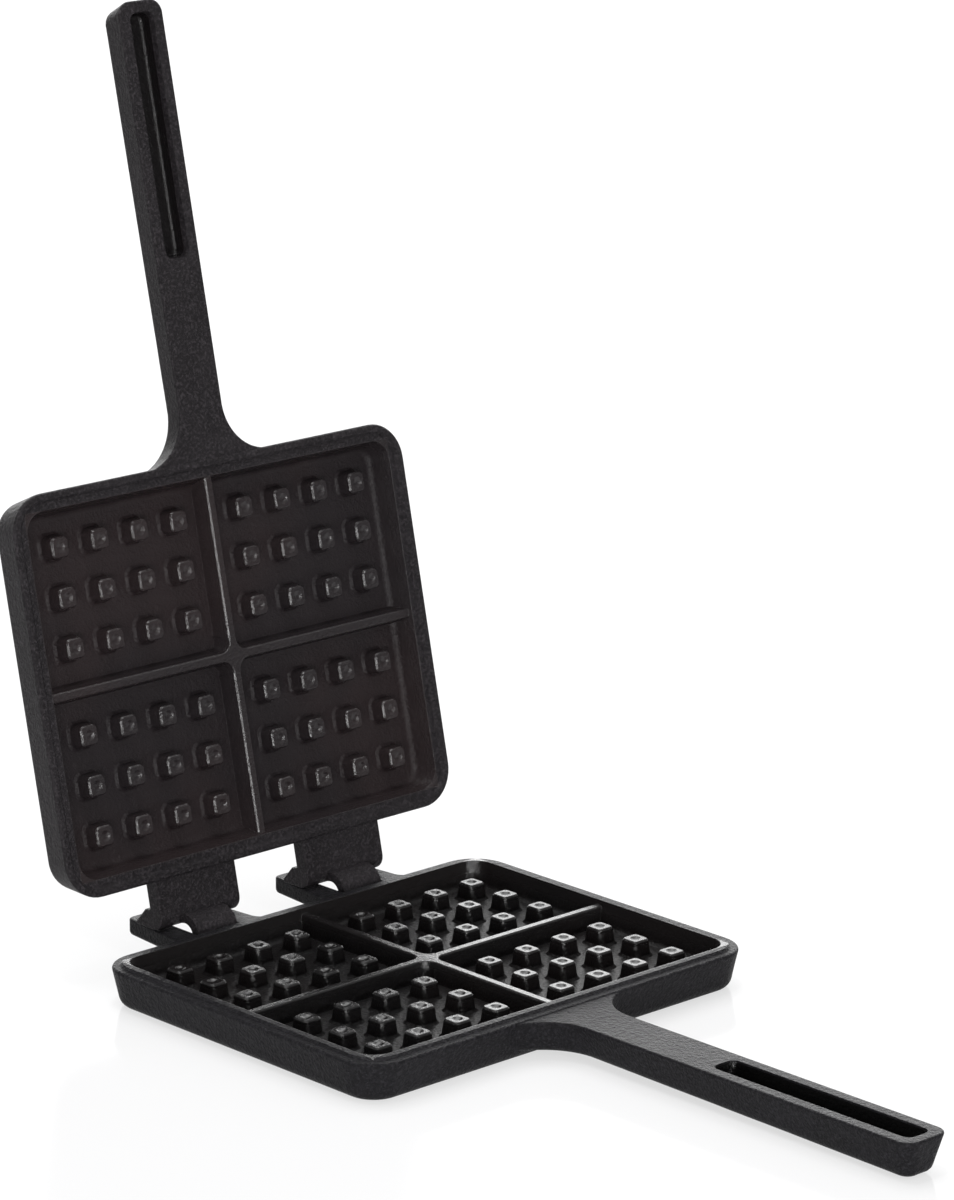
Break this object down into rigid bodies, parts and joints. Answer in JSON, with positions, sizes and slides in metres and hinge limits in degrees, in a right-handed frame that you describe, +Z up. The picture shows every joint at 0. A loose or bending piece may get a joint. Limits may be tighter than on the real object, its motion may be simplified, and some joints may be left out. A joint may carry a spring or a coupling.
{
  "type": "stovetop waffle iron",
  "caption": "Cast-iron stovetop waffle iron: hinged rectangular grid plates with studs and cross ribs, each with a long slotted handle, hooked together at the back, lid open.",
  "frame": {"origin": "centre of the lower plate's flat underside, on the surface it stands on", "axes": "+Z up, +Y from the handles towards the hinge, +X along the hinge line"},
  "size_m": [0.202, 0.4436, 0.3703],
  "materials": {
    "cast_iron": "seasoned black cast iron, fine sand-cast grain outside, glossy oiled cavity"
  },
  "bodies": {
    "lower_half": {"lower_plate": "cast_iron"},
    "upper_half": {"upper_plate": "cast_iron"}
  },
  "joints": [
    {"name": "lid_hinge", "type": "hinge", "parent": "lower_half", "child": "upper_half", "pos_m": [0, 0.0944, 0.0212], "axis": [1, 0, 0], "range_deg": [0, 102.5]}
  ]
}
